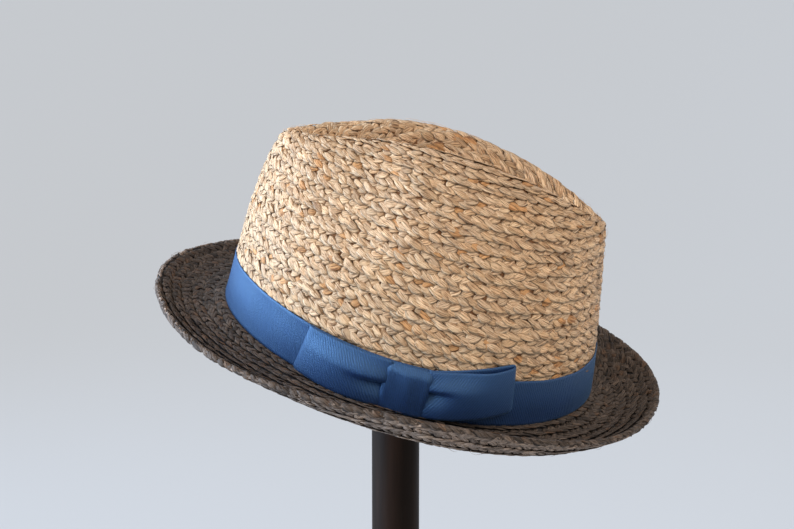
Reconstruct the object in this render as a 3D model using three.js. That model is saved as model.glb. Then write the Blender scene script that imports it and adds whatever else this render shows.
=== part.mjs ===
// Straw fedora on a plain stand.
// Millimetres, +Z up, origin on the floor under the middle of the stand's base.
// The hat has its own frame inside a tilted group: front at -Y, wearer's left at +X,
// Z = 0 where the crown meets the brim at the front and the back.

import * as THREE from 'three';
import { mergeVertices } from 'three/addons/utils/BufferGeometryUtils.js';

// Driving dimensions
const STRAW = 2.2;
const RIBBON = 0.8;
const CLEARANCE = 0.3;
const AROUND = 60;

const CROWN_BASE = { halfWidth: 80, frontLength: 102, backLength: 96.5, sideDip: 5 };
const RIDGE = {
  halfWidth: 20, halfLength: 84.8, centreY: -8, backFuller: 0.11, height: 110, backDrop: 3.5, endDrop: 18.5,
};
const CREASE = { halfWidth: 1.5, halfLength: 26, centreY: -8, height: 84 };
const PINCH = {
  y: -78, z: 86, depth: 12, frontReach: 90, backReach: 53, rise: 39, softness: 0.5,
  fadeFrom: 0.85, fadeTo: 1.6,
};
const BRIM = {
  sideOverhang: 33, frontOverhang: 36.3, backOverhang: 34.5,
  sideTurnUp: 9.5, frontTurnUp: 20, backTurnUp: 26,
};
const RIM_HEIGHT = { mean: 8.6, backRise: 4.7, sideRise: 5.3, diagonalDrop: 2.4 };
const BRIM_DIP = { mean: -1.7, sideRise: 3 };
const BAND_HEIGHT = 24;
const BOW = { middleY: -14.2, knotWidth: 21.5, knotRise: 4.2, knotShoulder: 0.45, loopReach: 42 };
const FRONT_LOOP = { side: -1, riseDeg: 0, leanDeg: 7 };
const BACK_LOOP = { side: 1, riseDeg: 12.5, leanDeg: 11 };
const STAND = {
  baseRadius: 85, baseHeight: 18, baseBevel: 3, poleRadius: 12.5, capRadius: 38, capHeight: 16, capRim: 2,
};
const HAT_TILT = { frontUpDeg: 14.9, leftDownDeg: 15.4, turnDeg: 4 };
const HAT_PLACE = new THREE.Vector3(-10, 10.9, 260);
const CAP_TOP = 342.1;

// Profile of the crown wall: exponent of the superellipse, and where its arc is cut off at the ridge
const WALL = { sideExponent: 2.6, frontExponent: 4, backExponent: 1.05, cutOff: 0.65 };
const CREST = { wallShare: 0.06, dentShare: 0.16 };
const DENT_ROUNDNESS = 1.7;

// How finely each surface is divided, and how strongly its rows crowd towards the bends
const WALL_RINGS = 12;
const WALL_CROWDING = 1.35;
const DENT_RINGS = 6;
const BRIM_FLAT_STEPS = 4;
const BRIM_TURN_STEPS = 5;
const BRIM_CROWDING = 0.8;
const LOOP_STEPS = 26;
const KNOT_STEPS = 8;
const DOME_STEPS = 6;
const ROUND_SEGMENTS = { base: 48, pole: 32, cap: 36 };

const material = (name, color, roughness, metalness = 0) => {
  const made = new THREE.MeshStandardMaterial({ color, roughness, metalness });
  made.name = name;
  return made;
};
const naturalRaffia = material('natural raffia', '#cdaf87', 0.8);
const taupeRaffia = material('taupe raffia', '#6b6058', 0.85);
const blueRibbon = material('blue ribbon', '#2f5a97', 0.6);
const darkWood = material('dark stained wood', '#2b2420', 0.5);

const lerp = THREE.MathUtils.lerp;
const smooth = THREE.MathUtils.smoothstep;

// Angle around the hat for step i: the front is -90 degrees, the wearer's left 0, the back +90
const aroundAngle = (i) => -Math.PI / 2 + (2 * Math.PI * i) / AROUND;

// A value that differs at the side, the front and the back, blended around the hat
function byDirection(t, side, front, back) {
  const s = Math.sin(t);
  return lerp(side, s < 0 ? front : back, s * s);
}

// Height of the line where the crown meets the brim
function baseHeight(t) {
  return -CROWN_BASE.sideDip * Math.cos(t) ** 2;
}

// Egg-shaped outline of the head opening, measured on the outside of the crown
function basePoint(t) {
  const s = Math.sin(t);
  const length = s < 0 ? CROWN_BASE.frontLength : CROWN_BASE.backLength;
  return new THREE.Vector3(CROWN_BASE.halfWidth * Math.cos(t), length * s, baseHeight(t));
}

// Level direction that points out of that outline
function baseOutward(t) {
  const step = 0.001;
  const along = basePoint(t + step).sub(basePoint(t - step)).setZ(0).normalize();
  return new THREE.Vector3(along.y, -along.x, 0);
}

// The two ridges at the top of the crown form one long oval, highest at the middle
function ridgePoint(t) {
  const s = Math.sin(t);
  return new THREE.Vector3(
    RIDGE.halfWidth * (1 + RIDGE.backFuller * s) * Math.cos(t),
    RIDGE.centreY + RIDGE.halfLength * s,
    RIDGE.height - RIDGE.backDrop * s - RIDGE.endDrop * s * s,
  );
}

// Bottom of the crease, a short line along the middle
function creasePoint(t) {
  return new THREE.Vector3(
    CREASE.halfWidth * Math.cos(t),
    CREASE.centreY + CREASE.halfLength * Math.sin(t),
    CREASE.height,
  );
}

// Wall of the crown without its pinches: share 0 at the brim, 1 at the ridge
function wallPoint(t, share) {
  const exponent = byDirection(t, WALL.sideExponent, WALL.frontExponent, WALL.backExponent);
  const topHeight = (1 - WALL.cutOff ** exponent) ** (1 / exponent);
  const across = (1 - (share * topHeight) ** exponent) ** (1 / exponent);
  const outwards = (across - WALL.cutOff) / (1 - WALL.cutOff);
  const base = basePoint(t);
  const ridge = ridgePoint(t);
  const point = ridge.clone().lerp(base, outwards);
  point.z = lerp(base.z, ridge.z, share);
  return point;
}

// Dent on the top: share 0 at the ridge, 1 at the bottom of the crease
function dentPoint(t, share) {
  const ridge = ridgePoint(t);
  const crease = creasePoint(t);
  const point = ridge.clone().lerp(crease, share);
  point.z = lerp(crease.z, ridge.z, Math.max(1 - share, 0) ** DENT_ROUNDNESS);
  return point;
}

// Crown from the brim (0) over the rounded ridge (1) to the crease (2)
function crownWithoutPinch(t, u) {
  const before = 1 - CREST.wallShare;
  const after = 1 + CREST.dentShare;
  if (u <= before) return wallPoint(t, u);
  if (u >= after) return dentPoint(t, u - 1);
  const k = (u - before) / (after - before);
  return wallPoint(t, before).multiplyScalar((1 - k) ** 2)
    .add(ridgePoint(t).multiplyScalar(2 * k * (1 - k)))
    .add(dentPoint(t, CREST.dentShare).multiplyScalar(k * k));
}

// The two pinches at the front corners flatten the wall, less so from the ridge on
function crownPoint(t, u) {
  const point = crownWithoutPinch(t, u);
  const reach = point.y < PINCH.y ? PINCH.frontReach : PINCH.backReach;
  const fromMiddle = ((point.y - PINCH.y) / reach) ** 2 + ((point.z - PINCH.z) / PINCH.rise) ** 2;
  const share = Math.max(1 - fromMiddle, 0);
  const hollow = (share ** 2 * (1 + PINCH.softness)) / (share + PINCH.softness);
  const fade = 1 - smooth(u, PINCH.fadeFrom, PINCH.fadeTo);
  const inwards = new THREE.Vector3(
    point.x / CROWN_BASE.halfWidth ** 2, point.y / CROWN_BASE.frontLength ** 2, 0,
  ).normalize().negate();
  const sides = Math.abs(Math.cos(t));
  return point.addScaledVector(inwards, PINCH.depth * sides * fade * hollow);
}

// Unit normal of a surface given by a function of two parameters
function normalOf(surface, a, b, step = 0.002) {
  const alongA = surface(a + step, b).sub(surface(a - step, b));
  const alongB = surface(a, b + step).sub(surface(a, Math.max(b - step, 0)));
  return alongA.cross(alongB).normalize();
}

// Two grids of points, one on each side of a sheet, become one closed solid.
// wrapped: the rows close on themselves. zipped: the last row is closed across its long axis.
function sheetSolid(front, back, { wrapped = false, zipped = false } = {}) {
  const rows = front.length;
  const columns = front[0].length;
  const positions = [...front.flat(), ...back.flat()].flatMap((p) => [p.x, p.y, p.z]);
  const indices = [];
  const at = (side, row, column) => (side * rows + row) * columns + (column % columns);
  const quad = (a, b, c, d) => indices.push(a, b, c, a, c, d);
  const steps = wrapped ? columns : columns - 1;
  for (let row = 0; row < rows - 1; row += 1) {
    for (let c = 0; c < steps; c += 1) {
      quad(at(0, row, c), at(0, row, c + 1), at(0, row + 1, c + 1), at(0, row + 1, c));
      quad(at(1, row, c), at(1, row + 1, c), at(1, row + 1, c + 1), at(1, row, c + 1));
    }
  }
  const last = rows - 1;
  for (let c = 0; c < steps; c += 1) {
    quad(at(0, 0, c + 1), at(0, 0, c), at(1, 0, c), at(1, 0, c + 1));
    if (!zipped) quad(at(0, last, c), at(0, last, c + 1), at(1, last, c + 1), at(1, last, c));
  }
  if (zipped) {
    for (let c = 0; c < columns / 2; c += 1) {
      const [near, nearNext, farNext, far] = [c, c + 1, columns - c - 1, columns - c];
      quad(at(0, last, near), at(0, last, nearNext), at(0, last, farNext), at(0, last, far));
      quad(at(1, last, near), at(1, last, far), at(1, last, farNext), at(1, last, nearNext));
    }
  }
  if (!wrapped) {
    for (let row = 0; row < rows - 1; row += 1) {
      const end = columns - 1;
      quad(at(0, row, 0), at(0, row + 1, 0), at(1, row + 1, 0), at(1, row, 0));
      quad(at(0, row + 1, end), at(0, row, end), at(1, row, end), at(1, row + 1, end));
    }
  }
  const kept = [];
  for (let i = 0; i < indices.length; i += 3) {
    const [a, b, c] = indices.slice(i, i + 3);
    if (a !== b && b !== c && c !== a) kept.push(a, b, c);
  }
  const geometry = new THREE.BufferGeometry();
  geometry.setAttribute('position', new THREE.Float32BufferAttribute(positions, 3));
  geometry.setIndex(kept);
  return geometry;
}

const grid = (rowValues, columnValues, point) => rowValues.map((r) => columnValues.map((c) => point(c, r)));
const range = (count, make) => Array.from({ length: count }, (_, i) => make(i));
const angles = range(AROUND, aroundAngle);

// Crown
function crownGeometry() {
  const wall = range(WALL_RINGS, (k) => 1 - (1 - k / WALL_RINGS) ** WALL_CROWDING);
  const dentShare = (k) => lerp(CREST.dentShare, 1, k / (DENT_RINGS - 1));
  const dent = range(DENT_RINGS, (k) => 1 + dentShare(k));
  const crestStart = 1 - CREST.wallShare;
  const crestTop = 1 + (CREST.dentShare - CREST.wallShare) / 3;
  const levels = [...wall.filter((u) => u < crestStart), crestStart, crestTop, ...dent];
  const outside = grid(levels, angles, crownPoint);
  const inside = grid(levels, angles, (t, u) => {
    const point = crownPoint(t, u);
    const inner = point.clone().addScaledVector(normalOf(crownPoint, t, u), -STRAW);
    if (u === 0) inner.z = point.z;
    return inner;
  });
  return sheetSolid(outside, inside, { wrapped: true, zipped: true });
}

// Brim: its three heights follow the direction, with a little extra on the diagonals
function brimShape(t) {
  const s = Math.sin(t);
  const double = Math.cos(2 * t);
  const quarter = Math.cos(4 * t);
  return {
    overhang: byDirection(t, BRIM.sideOverhang, BRIM.frontOverhang, BRIM.backOverhang),
    turnUp: byDirection(t, BRIM.sideTurnUp, BRIM.frontTurnUp, BRIM.backTurnUp),
    rimHeight: RIM_HEIGHT.mean + RIM_HEIGHT.backRise * s + RIM_HEIGHT.sideRise * double
      + RIM_HEIGHT.diagonalDrop * quarter,
    dip: BRIM_DIP.mean + BRIM_DIP.sideRise * double,
  };
}

// Upper face of the brim, at a level distance out from the crown's outline
function brimPoint(t, distance) {
  const { overhang, turnUp, rimHeight, dip } = brimShape(t);
  const point = basePoint(t).addScaledVector(baseOutward(t), distance);
  const lowest = overhang - turnUp;
  if (distance > lowest) {
    point.z += dip + (rimHeight - dip) * ((distance - lowest) / turnUp) ** 2;
  } else if (distance > 0) {
    point.z += dip * (1 - (1 - distance / lowest) ** 2);
  }
  point.z -= CLEARANCE;
  return point;
}

function brimGeometry() {
  const distanceAt = (t, row) => {
    if (row === 0) return -STRAW;
    const { overhang, turnUp } = brimShape(t);
    const lowest = overhang - turnUp;
    const step = row - 1;
    return step <= BRIM_FLAT_STEPS
      ? (lowest * step) / BRIM_FLAT_STEPS
      : lowest + turnUp * ((step - BRIM_FLAT_STEPS) / BRIM_TURN_STEPS) ** BRIM_CROWDING;
  };
  const rows = range(BRIM_FLAT_STEPS + BRIM_TURN_STEPS + 2, (row) => row);
  const upper = grid(rows, angles, (t, row) => brimPoint(t, distanceAt(t, row)));
  const reach = 0.05;
  const lower = grid(rows, angles, (t, row) => {
    const distance = distanceAt(t, row);
    const across = brimPoint(t, distance + reach).sub(brimPoint(t, distance - reach)).normalize();
    const down = new THREE.Vector3().crossVectors(across, new THREE.Vector3(-Math.sin(t), Math.cos(t), 0));
    if (down.z > 0) down.negate();
    return brimPoint(t, distance).addScaledVector(down.normalize(), STRAW);
  });
  return sheetSolid(lower, upper, { wrapped: true });
}

// A point beside the crown wall: its angle, its height above the brim and its distance from the straw
function besideWall(t, height, distance) {
  const rise = ridgePoint(t).z - baseHeight(t);
  const share = Math.max(height, 0) / rise;
  const point = wallPoint(t, share);
  point.z = baseHeight(t) + height;
  return point.addScaledVector(baseOutward(t), distance);
}

// Hatband: one ring of ribbon around the foot of the crown
function hatbandGeometry() {
  const heights = [0, BAND_HEIGHT / 2, BAND_HEIGHT];
  const outside = grid(heights, angles, (t, h) => besideWall(t, h, CLEARANCE + RIBBON));
  const inside = grid(heights, angles, (t, h) => besideWall(t, h, CLEARANCE));
  return sheetSolid(outside, inside, { wrapped: true });
}

// Angle around the crown for a distance along the band from the middle of the bow
function bowAngle(along) {
  const start = Math.asin(BOW.middleY / CROWN_BASE.frontLength);
  const radius = (CROWN_BASE.frontLength + CROWN_BASE.backLength) / 2;
  return start + along / radius;
}
const bandFace = CLEARANCE + RIBBON;

// Loop of the bow: a ribbon that leaves the knot against the band, turns back at the fold and
// returns in front. Columns: share of the reach, distance of the ribbon's middle from the band.
const LOOP_ROUTE = [
  { reach: 0.00, out: 0.8 }, { reach: 0.50, out: 0.8 }, { reach: 0.94, out: 0.9 },
  { reach: 1.00, out: 2.2 }, { reach: 0.94, out: 3.6 }, { reach: 0.55, out: 4.9 },
  { reach: 0.20, out: 4.0 }, { reach: 0.00, out: 2.6 },
];

// The loop climbs away from the knot by its rise, and its fold leans by its lean, top towards the knot
function loopGeometry({ side, riseDeg, leanDeg }) {
  const edge = BOW.knotWidth / 2 + CLEARANCE;
  const route = new THREE.CatmullRomCurve3(
    LOOP_ROUTE.map(({ reach, out }) => new THREE.Vector3(BOW.loopReach * reach, out, 0)),
    false, 'centripetal',
  );
  const rise = Math.tan(THREE.MathUtils.degToRad(riseDeg));
  const lean = Math.tan(THREE.MathUtils.degToRad(leanDeg));
  const steps = range(LOOP_STEPS + 1, (i) => i / LOOP_STEPS);
  const heights = [CLEARANCE, BAND_HEIGHT / 2, BAND_HEIGHT];
  const face = (offset) => grid(steps, heights, (height, k) => {
    const place = route.getPoint(k);
    const heading = route.getTangent(k);
    const along = place.x - heading.y * offset;
    const out = place.y + heading.x * offset;
    const leaned = along * (1 - (lean * (height - BAND_HEIGHT / 2)) / BOW.loopReach);
    return besideWall(bowAngle(side * (edge + leaned)), height + rise * along, bandFace + out);
  });
  const left = face(RIBBON / 2);
  const right = face(-RIBBON / 2);
  return side > 0 ? sheetSolid(right, left) : sheetSolid(left, right);
}

// Knot: the ribbon wrapped across the middle of the bow
function knotGeometry() {
  const half = BOW.knotWidth / 2;
  const along = range(KNOT_STEPS + 1, (i) => -half + (BOW.knotWidth * i) / KNOT_STEPS);
  const heights = [CLEARANCE, BAND_HEIGHT / 2, BAND_HEIGHT];
  const rise = (a) => BOW.knotRise * (1 - BOW.knotShoulder * (a / half) ** 4);
  const front = grid(heights, along, (a, h) => besideWall(bowAngle(a), h, bandFace + rise(a)));
  const back = grid(heights, along, (a, h) => besideWall(bowAngle(a), h, bandFace + CLEARANCE));
  return sheetSolid(front, back);
}

// A solid of revolution about Z from radius and height pairs that start and end on the axis
function turned(profile, segments) {
  const outline = profile.map(([radius, height]) => new THREE.Vector2(radius, height));
  const geometry = new THREE.LatheGeometry(outline, segments);
  geometry.rotateX(Math.PI / 2);
  geometry.deleteAttribute('normal');
  geometry.deleteAttribute('uv');
  return mergeVertices(geometry, 1e-3);
}

// Stand: base, pole and a low dome under the crown
function standBaseGeometry() {
  const { baseRadius, baseHeight, baseBevel } = STAND;
  return turned([
    [0, 0], [baseRadius, 0], [baseRadius, baseHeight - baseBevel],
    [baseRadius - baseBevel, baseHeight], [0, baseHeight],
  ], ROUND_SEGMENTS.base);
}

function standPoleGeometry() {
  const foot = STAND.baseHeight + CLEARANCE;
  const head = CAP_TOP - STAND.capHeight - CLEARANCE;
  const outline = [[0, foot], [STAND.poleRadius, foot], [STAND.poleRadius, head], [0, head]];
  return turned(outline, ROUND_SEGMENTS.pole);
}

function standCapGeometry() {
  const bottom = CAP_TOP - STAND.capHeight;
  const dome = range(DOME_STEPS, (i) => {
    const angle = (Math.PI / 2) * (i / DOME_STEPS);
    const rise = STAND.capRim + (STAND.capHeight - STAND.capRim) * Math.sin(angle);
    return [STAND.capRadius * Math.cos(angle), bottom + rise];
  });
  return turned([[0, bottom], [STAND.capRadius, bottom], ...dome, [0, CAP_TOP]], ROUND_SEGMENTS.cap);
}

const piece = (name, geometry, look) => {
  const mesh = new THREE.Mesh(geometry, look);
  mesh.name = name;
  return mesh;
};

const hat = new THREE.Group();
hat.add(
  piece('crown', crownGeometry(), naturalRaffia),
  piece('brim', brimGeometry(), taupeRaffia),
  piece('hatband', hatbandGeometry(), blueRibbon),
  piece('bow_front_loop', loopGeometry(FRONT_LOOP), blueRibbon),
  piece('bow_back_loop', loopGeometry(BACK_LOOP), blueRibbon),
  piece('bow_knot', knotGeometry(), blueRibbon),
);
hat.position.copy(HAT_PLACE);
hat.rotation.set(
  -THREE.MathUtils.degToRad(HAT_TILT.frontUpDeg), THREE.MathUtils.degToRad(HAT_TILT.leftDownDeg),
  THREE.MathUtils.degToRad(HAT_TILT.turnDeg), 'ZYX',
);

const fedora = new THREE.Group();
fedora.add(
  hat,
  piece('stand_base', standBaseGeometry(), darkWood),
  piece('stand_pole', standPoleGeometry(), darkWood),
  piece('stand_cap', standCapGeometry(), darkWood),
);

export default fedora;
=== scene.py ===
"""Straw fedora on a plain stand: braided raffia, ribbon and wood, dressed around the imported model.

Lengths are millimetres in the sizes below and metres in the meshes. The hat has its own frame, with
its front at -Y and the wearer's left at +X, which HatForm.place sets on the stand.
"""

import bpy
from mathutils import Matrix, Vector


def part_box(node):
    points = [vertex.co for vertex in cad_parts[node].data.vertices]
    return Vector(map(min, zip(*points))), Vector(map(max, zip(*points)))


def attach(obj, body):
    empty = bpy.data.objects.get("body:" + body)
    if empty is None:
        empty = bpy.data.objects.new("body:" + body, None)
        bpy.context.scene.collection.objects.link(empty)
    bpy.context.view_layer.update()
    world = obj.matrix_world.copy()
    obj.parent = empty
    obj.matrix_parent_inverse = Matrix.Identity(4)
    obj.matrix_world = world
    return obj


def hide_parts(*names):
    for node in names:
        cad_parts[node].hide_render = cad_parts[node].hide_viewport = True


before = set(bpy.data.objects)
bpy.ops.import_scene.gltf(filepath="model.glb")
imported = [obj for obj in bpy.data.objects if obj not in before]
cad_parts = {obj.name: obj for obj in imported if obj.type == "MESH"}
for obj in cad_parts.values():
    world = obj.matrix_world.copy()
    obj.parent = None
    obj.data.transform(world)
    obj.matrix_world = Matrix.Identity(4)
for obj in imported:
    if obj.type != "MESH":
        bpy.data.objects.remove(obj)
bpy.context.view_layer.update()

import logging
import math
from dataclasses import dataclass
from enum import Enum
from typing import Callable

import bpy
import numpy as np
from mathutils import Vector

Array = np.ndarray
MM = 0.001
TURN = 2 * math.pi
TINY = 1e-9
STEPS_PER_TURN = 720
log = logging.getLogger("fedora")


def linear(red: int, green: int, blue: int) -> tuple[float, float, float]:
    """Turns an 8-bit display colour into Blender's linear colour.

    Args:
        red: Red from 0 to 255.
        green: Green from 0 to 255.
        blue: Blue from 0 to 255.

    Returns:
        The three linear values.
    """
    shares = [value / 255 for value in (red, green, blue)]
    return tuple(s / 12.92 if s <= 0.04045 else ((s + 0.055) / 1.055) ** 2.4 for s in shares)


def by_direction(t: Array, side: float, front: float, back: float) -> Array:
    """Blends a value that differs at the side, the front and the back.

    Args:
        t: Angle around the hat, -90 degrees at the front and 0 at the wearer's left.
        side: The value at both sides.
        front: The value at the front.
        back: The value at the back.

    Returns:
        The blended values.
    """
    s = np.sin(t)
    return side + (np.where(s < 0, front, back) - side) * s**2


def smooth_step(x: Array, low: float, high: float) -> Array:
    """Returns 0 below low, 1 above high and a smooth rise between them."""
    k = np.clip((x - low) / (high - low), 0, 1)
    return k * k * (3 - 2 * k)


def unit(vectors: Array) -> Array:
    """Returns the vectors at length 1."""
    return vectors / np.maximum(np.linalg.norm(vectors, axis=-1, keepdims=True), TINY)


def shift(points: Array, direction: Array, distance: Array | float) -> Array:
    """Returns the points moved along their directions by a distance each."""
    return points + direction * np.asarray(distance)[..., None]


@dataclass(frozen=True)
class HatForm:
    """Shape of the hat as surfaces: the crown, the brim and the place of a ribbon beside the wall."""

    straw: float = 2.2
    clearance: float = 0.3
    base_half_width: float = 80
    base_front: float = 102
    base_back: float = 96.5
    side_dip: float = 5
    ridge_half_width: float = 20
    ridge_half_length: float = 84.8
    ridge_centre_y: float = -8
    ridge_back_fuller: float = 0.11
    ridge_height: float = 110
    ridge_back_drop: float = 3.5
    ridge_end_drop: float = 18.5
    crease_half_width: float = 1.5
    crease_half_length: float = 26
    crease_centre_y: float = -8
    crease_height: float = 84
    pinch_y: float = -78
    pinch_z: float = 86
    pinch_depth: float = 12
    pinch_reach: float = 53
    pinch_front_reach: float = 90
    pinch_rise: float = 39
    pinch_softness: float = 0.5
    pinch_fade: float = 0.85
    pinch_end: float = 1.6
    wall_side: float = 2.6
    wall_front: float = 4
    wall_back: float = 1.05
    wall_cut_off: float = 0.65
    crest_wall: float = 0.06
    crest_dent: float = 0.16
    dent_roundness: float = 1.7
    brim_side: float = 33
    brim_front: float = 36.3
    brim_back: float = 34.5
    turn_up_side: float = 9.5
    turn_up_front: float = 20
    turn_up_back: float = 26
    rim_mean: float = 8.6
    rim_back_rise: float = 4.7
    rim_side_rise: float = 5.3
    rim_diagonal_drop: float = 2.4
    dip_mean: float = -1.7
    dip_side_rise: float = 3
    front_up_deg: float = 14.9
    left_down_deg: float = 15.4
    turn_deg: float = 4
    seat: tuple[float, float, float] = (-10, 10.9, 260)

    def place(self, points: Array) -> Array:
        """Moves points from the hat's frame to the stand's.

        Args:
            points: Points in the hat's frame, in millimetres.

        Returns:
            The points on the stand, in metres.
        """
        a, b, c = np.radians([-self.front_up_deg, self.left_down_deg, self.turn_deg])
        about_x = np.array([[1, 0, 0], [0, math.cos(a), -math.sin(a)], [0, math.sin(a), math.cos(a)]])
        about_y = np.array([[math.cos(b), 0, math.sin(b)], [0, 1, 0], [-math.sin(b), 0, math.cos(b)]])
        about_z = np.array([[math.cos(c), -math.sin(c), 0], [math.sin(c), math.cos(c), 0], [0, 0, 1]])
        return (points @ (about_z @ about_y @ about_x).T + np.array(self.seat)) * MM

    def base_height(self, t: Array) -> Array:
        """Height of the line where the crown meets the brim."""
        return -self.side_dip * np.cos(t) ** 2

    def base(self, t: Array) -> Array:
        """Outline of the foot of the crown, on its outside."""
        length = np.where(np.sin(t) < 0, self.base_front, self.base_back)
        return np.stack([self.base_half_width * np.cos(t), length * np.sin(t), self.base_height(t)], -1)

    def outward(self, t: Array) -> Array:
        """Level direction that points out of that outline.

        Args:
            t: Angle around the hat.

        Returns:
            The directions, at length 1.
        """
        step = 0.001
        along = self.base(t + step) - self.base(t - step)
        return unit(np.stack([along[..., 1], -along[..., 0], np.zeros_like(t)], -1))

    def ridge(self, t: Array) -> Array:
        """The long oval that the two ridges of the crown form.

        Args:
            t: Angle around the hat.

        Returns:
            The points.
        """
        s = np.sin(t)
        return np.stack([
            self.ridge_half_width * (1 + self.ridge_back_fuller * s) * np.cos(t),
            self.ridge_centre_y + self.ridge_half_length * s,
            self.ridge_height - self.ridge_back_drop * s - self.ridge_end_drop * s**2,
        ], -1)

    def crease(self, t: Array) -> Array:
        """The short line at the bottom of the crease.

        Args:
            t: Angle around the hat.

        Returns:
            The points.
        """
        return np.stack([
            self.crease_half_width * np.cos(t),
            self.crease_centre_y + self.crease_half_length * np.sin(t),
            np.full_like(t, self.crease_height),
        ], -1)

    def wall(self, t: Array, share: Array) -> Array:
        """Wall of the crown without its pinches.

        Args:
            t: Angle around the hat.
            share: Share of the height, 0 at the brim and 1 at the ridge.

        Returns:
            The points.
        """
        power = by_direction(t, self.wall_side, self.wall_front, self.wall_back)
        top = (1 - self.wall_cut_off**power) ** (1 / power)
        across = np.maximum(1 - (share * top) ** power, 0) ** (1 / power)
        outwards = ((across - self.wall_cut_off) / (1 - self.wall_cut_off))[..., None]
        base, ridge = self.base(t), self.ridge(t)
        point = ridge + (base - ridge) * outwards
        point[..., 2] = base[..., 2] + (ridge[..., 2] - base[..., 2]) * share
        return point

    def dent(self, t: Array, share: Array) -> Array:
        """Dent on the top of the crown, from the ridge (0) to the bottom of the crease (1).

        Args:
            t: Angle around the hat.
            share: Share of the way down, 0 at the ridge and 1 at the bottom.

        Returns:
            The points.
        """
        ridge, crease = self.ridge(t), self.crease(t)
        point = ridge + (crease - ridge) * share[..., None]
        rest = np.maximum(1 - share, 0) ** self.dent_roundness
        point[..., 2] = crease[..., 2] + (ridge[..., 2] - crease[..., 2]) * rest
        return point

    def crown(self, t: Array, u: Array) -> Array:
        """Outside of the crown.

        Args:
            t: Angle around the hat.
            u: 0 at the brim, 1 at the rounded ridge and 2 at the bottom of the crease.

        Returns:
            The points, with the two pinches at the front pushed in.
        """
        before, after = 1 - self.crest_wall, 1 + self.crest_dent
        k = np.clip((u - before) / (after - before), 0, 1)[..., None]
        start = self.wall(t, np.full_like(u, before))
        end = self.dent(t, np.full_like(u, self.crest_dent))
        crest = start * (1 - k) ** 2 + self.ridge(t) * 2 * k * (1 - k) + end * k**2
        wall = self.wall(t, np.clip(u, 0, before))
        dent = self.dent(t, np.clip(u - 1, self.crest_dent, 1))
        point = np.where((u <= before)[..., None], wall, np.where((u >= after)[..., None], dent, crest))
        forward = self.pinch_y - point[..., 1]
        along = forward / np.where(forward > 0, self.pinch_front_reach, self.pinch_reach)
        away = np.hypot(along, (point[..., 2] - self.pinch_z) / self.pinch_rise)
        share = np.clip(1 - away**2, 0, None)
        hollow = share**2 * (1 + self.pinch_softness) / (share + self.pinch_softness)
        inwards = -unit(np.stack([
            point[..., 0] / self.base_half_width**2,
            point[..., 1] / self.base_front**2,
            np.zeros_like(u),
        ], -1))
        fade = 1 - smooth_step(u, self.pinch_fade, self.pinch_end)
        depth = self.pinch_depth * np.abs(np.cos(t)) * fade * hollow
        return shift(point, inwards, depth)

    def brim_reach(self, t: Array) -> Array:
        """Level width of the brim from the crown to the rim."""
        return by_direction(t, self.brim_side, self.brim_front, self.brim_back)

    def brim(self, t: Array, distance: Array) -> Array:
        """Upper face of the brim at a level distance out from the crown.

        Args:
            t: Angle around the hat.
            distance: Level distance from the foot of the crown.

        Returns:
            The points.
        """
        reach = self.brim_reach(t)
        turn_up = by_direction(t, self.turn_up_side, self.turn_up_front, self.turn_up_back)
        rim = (self.rim_mean + self.rim_back_rise * np.sin(t) + self.rim_side_rise * np.cos(2 * t)
               + self.rim_diagonal_drop * np.cos(4 * t))
        dip = self.dip_mean + self.dip_side_rise * np.cos(2 * t)
        lowest = reach - turn_up
        rising = dip + (rim - dip) * (np.maximum(distance - lowest, 0) / turn_up) ** 2
        falling = dip * (1 - (1 - np.clip(distance, 0, lowest) / lowest) ** 2)
        point = shift(self.base(t), self.outward(t), distance)
        point[..., 2] += np.where(distance > lowest, rising, falling) - self.clearance
        return point

    def beside_wall(self, t: Array, height: Array, distance: Array | float) -> Array:
        """A point beside the wall of the crown, as a ribbon lies.

        Args:
            t: Angle around the hat.
            height: Height above the foot of the crown.
            distance: Level distance from the straw.

        Returns:
            The points.
        """
        rise = self.ridge(t)[..., 2] - self.base_height(t)
        point = self.wall(t, np.maximum(height, 0) / rise)
        point[..., 2] = self.base_height(t) + height
        return shift(point, self.outward(t), np.broadcast_to(distance, np.shape(t)))


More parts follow.
